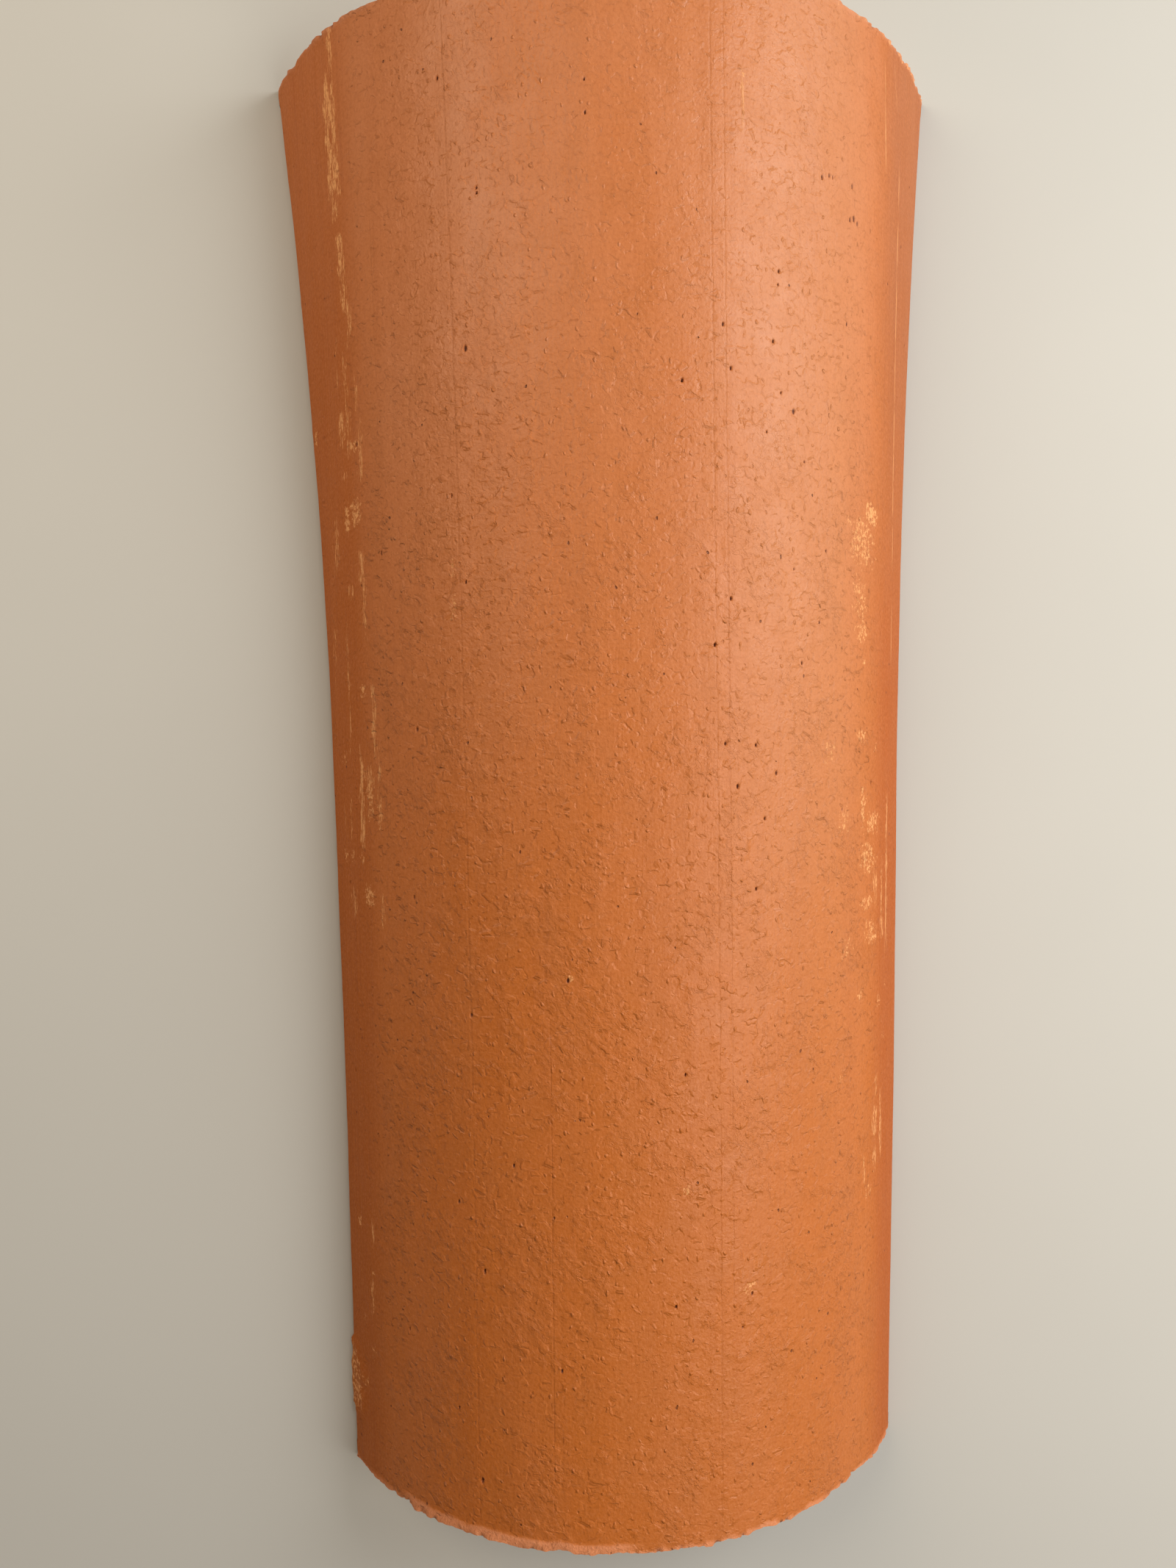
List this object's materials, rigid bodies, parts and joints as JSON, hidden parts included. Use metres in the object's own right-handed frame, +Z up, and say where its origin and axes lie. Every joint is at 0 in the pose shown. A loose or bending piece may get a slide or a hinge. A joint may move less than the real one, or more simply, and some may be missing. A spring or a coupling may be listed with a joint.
{
  "type": "clay cover roof tile",
  "caption": "Tapered, flared barrel cover tile of fired clay: an arched shell with flat rims and wire-cut ends.",
  "frame": {"origin": "centre of the tile's footprint, on the plane that both rims rest on", "axes": "+Y along the tile towards its wide end, +X across it, +Z up from the rims to the crest"},
  "size_m": [0.1978, 0.42, 0.063],
  "materials": {
    "fired_clay": "matt unglazed terracotta, orange with paler scuffs, pin holes and fine drag lines along the length"
  },
  "bodies": {
    "root": {"cover_tile": "fired_clay"}
  },
  "joints": []
}
